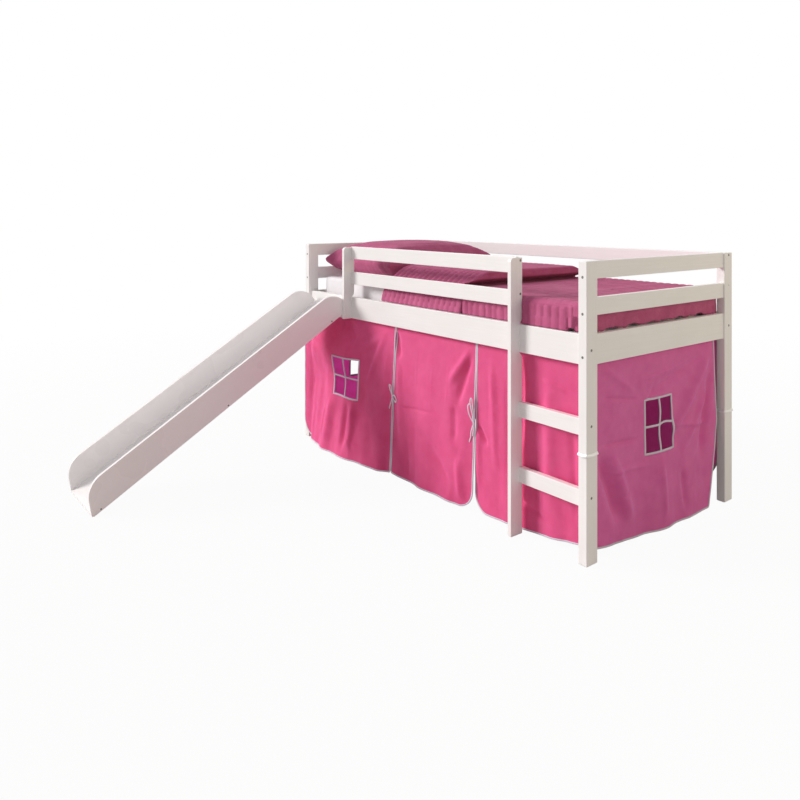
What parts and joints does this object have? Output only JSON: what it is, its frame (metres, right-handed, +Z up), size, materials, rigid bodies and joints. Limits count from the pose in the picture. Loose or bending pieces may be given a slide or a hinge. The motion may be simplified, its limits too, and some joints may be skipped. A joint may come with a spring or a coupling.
{
  "type": "loft bed with slide",
  "caption": "Low loft bed with a straight slide, short ladder, guard rails, play curtains with windows under it, and bedding.",
  "frame": {"origin": "on the floor under the middle of the whole outline, slide included", "axes": "+X from the head end to the foot end, +Y from the slide's foot to the back of the bed, +Z up"},
  "size_m": [2.083, 2.2367, 1.1036],
  "materials": {
    "white_paint": "white lacquered solid wood, satin",
    "white_board": "white lacquered board, satin",
    "bare_pine": "untreated pine",
    "zinc": "zinc plated",
    "hook_tape": "woven hook tape",
    "pink_cotton": "plain cotton",
    "white_tape": "cotton tape",
    "mattress_cover": "white sheet",
    "plum_quilt": "channel-quilted cotton"
  },
  "bodies": {
    "root": {"post_front_left": "white_paint", "post_front_right": "white_paint", "post_back_left": "white_paint", "post_back_right": "white_paint", "head_board": "white_paint", "head_middle_rail": "white_paint", "head_top_rail": "white_paint", "foot_board": "white_paint", "foot_middle_rail": "white_paint", "foot_top_rail": "white_paint", "side_board_front": "white_paint", "side_board_back": "white_paint", "back_guard_rail": "white_paint", "guard_upright": "white_paint", "ladder_upright": "white_paint", "guard_rail_middle": "white_paint", "guard_rail_top": "white_paint", "rung_upper": "white_paint", "rung_lower": "white_paint", "slat_batten_front": "bare_pine", "slat_batten_back": "bare_pine", "slats": "bare_pine", "slide_panel_left": "white_board", "slide_panel_right": "white_board", "slide_bed": "white_board", "slide_hanger": "white_board", "end_bolts": "zinc", "side_bolts": "zinc", "rung_bolts": "zinc", "upright_bolts": "zinc", "guard_bolts": "zinc", "slide_hanger_bolts": "zinc", "slide_screws": "zinc", "hook_strip_front": "hook_tape", "hook_strip_back": "hook_tape", "hook_strip_head": "hook_tape", "hook_strip_foot": "hook_tape", "curtain_front_left": "pink_cotton", "curtain_front_middle": "pink_cotton", "curtain_front_right": "pink_cotton", "curtain_foot_end": "pink_cotton", "curtain_head_end": "pink_cotton", "curtain_back": "pink_cotton", "curtain_tie_front_left": "white_tape", "curtain_tie_front_right": "white_tape", "curtain_tie_back_left": "white_tape", "curtain_tie_back_right": "white_tape", "mattress": "mattress_cover", "bedspread": "plum_quilt", "duvet": "plum_quilt", "pillow": "plum_quilt"}
  },
  "joints": []
}
